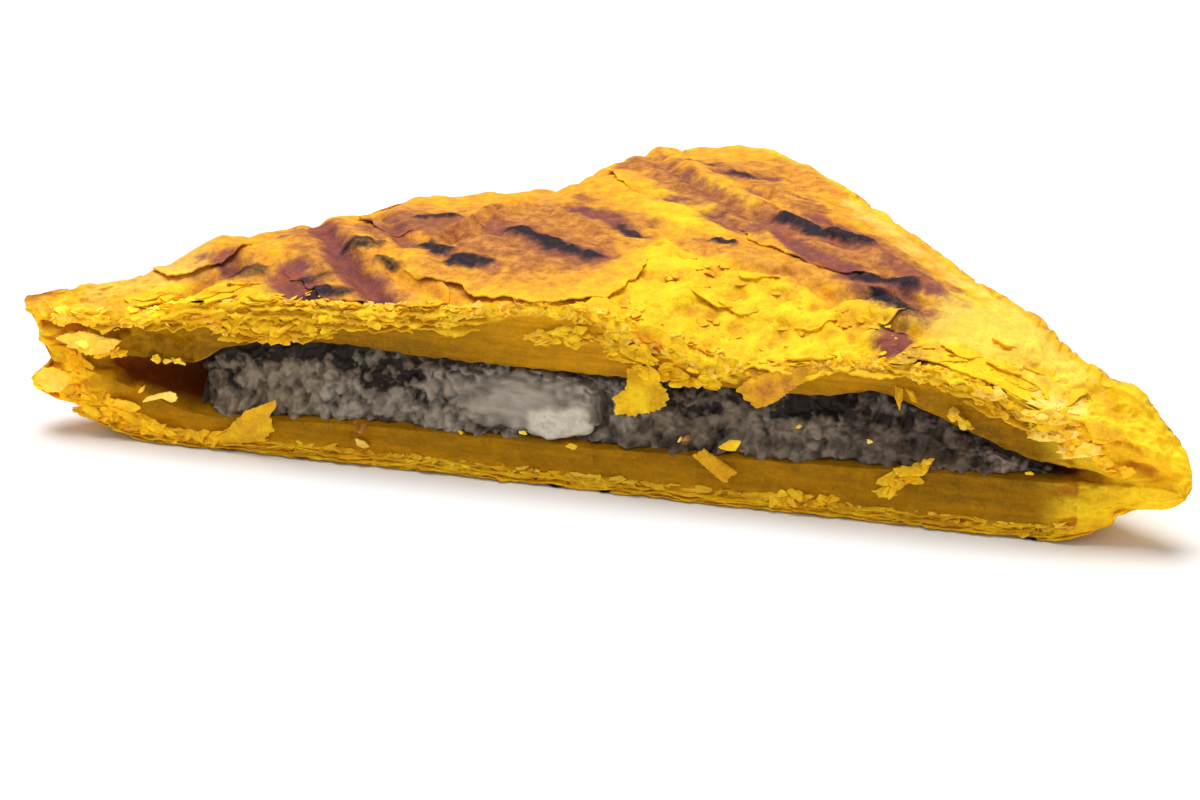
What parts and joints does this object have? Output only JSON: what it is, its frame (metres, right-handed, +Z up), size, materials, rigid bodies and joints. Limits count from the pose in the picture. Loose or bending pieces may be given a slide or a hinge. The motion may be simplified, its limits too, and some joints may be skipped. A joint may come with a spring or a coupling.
{
  "type": "jamaican patty",
  "caption": "Half of a flat flaky turmeric patty cut corner to corner: a folded pastry shell, open along the cut, with minced filling and a lump of melted cheese.",
  "frame": {"origin": "middle of the bounding rectangle of the base, on the flat underside that the half lies on", "axes": "+X along the cut, towards the right when looking at the filling; +Y from the cut face towards the uncut corner; +Z up through the top crust"},
  "size_m": [0.1496, 0.0824, 0.0266],
  "materials": {
    "crust": "baked yellow flaky pastry, browned and charred in bars on top",
    "filling": "moist grey-brown minced meat",
    "cheese": "soft, slightly shiny melted cheese"
  },
  "bodies": {
    "root": {"crust": "crust", "filling": "filling", "cheese": "cheese"}
  },
  "joints": []
}
